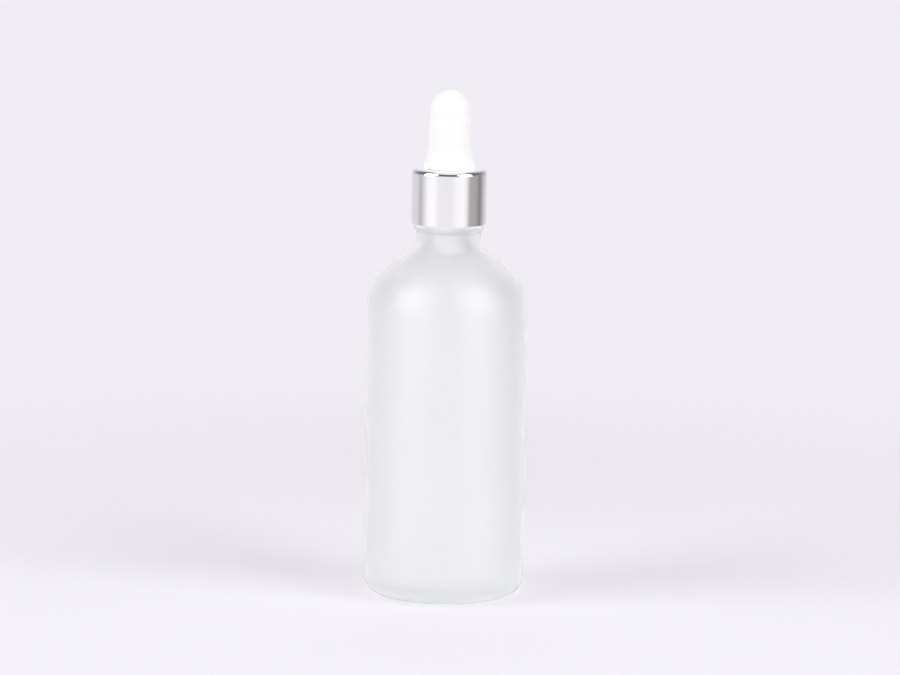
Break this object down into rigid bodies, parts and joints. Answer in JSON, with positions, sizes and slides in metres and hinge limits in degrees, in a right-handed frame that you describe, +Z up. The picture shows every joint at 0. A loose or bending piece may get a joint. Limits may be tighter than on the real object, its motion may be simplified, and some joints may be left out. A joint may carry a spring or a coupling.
{
  "type": "medicine dropper",
  "caption": "Round frosted-glass medicine bottle closed by a screw dropper cap with a metal collar, a rubber squeeze bulb and a glass pipette inside.",
  "frame": {"origin": "centre of the bottle's base, on the surface it stands on", "axes": "+Z up along the bottle's axis, towards the bulb; X and Y are free, since the object is round"},
  "size_m": [0.0446, 0.0446, 0.1403],
  "materials": {
    "frosted_glass": "acid-etched matt outside, clear inside",
    "aluminium": "polished",
    "cap_plastic": "moulded polypropylene",
    "washer_foam": "polyethylene sheet",
    "rubber": "satin white",
    "clear_glass": "clear tube glass"
  },
  "bodies": {
    "bottle": {"bottle": "frosted_glass"},
    "washer": {"sealing_washer": "washer_foam"},
    "pipette": {"pipette": "clear_glass"},
    "collar": {"collar_shell": "aluminium", "inner_cap": "cap_plastic"},
    "bulb": {"rubber_bulb": "rubber"}
  },
  "joints": [
    {"name": "dropper_lift", "type": "slide", "parent": "bottle", "child": "washer", "axis": [0, 0, 1], "range_m": [0, 0.105]},
    {"name": "thread_rise", "type": "slide", "parent": "washer", "child": "pipette", "axis": [0, 0, 1], "range_m": [0, 0.00476]},
    {"name": "collar_turn", "type": "hinge", "parent": "pipette", "child": "collar", "pos_m": [0, 0, 0.111], "axis": [0, 0, 1], "range_deg": [0, 540]},
    {"name": "bulb_press", "type": "slide", "parent": "pipette", "child": "bulb", "axis": [0, 0, -1], "range_m": [0, 0.006], "stiffness_N_per_m": 400, "deforming": ["rubber_bulb"]}
  ],
  "couplings": [
    {"joint": "collar_turn", "follows": "thread_rise", "rad_per_m": 1979}
  ]
}
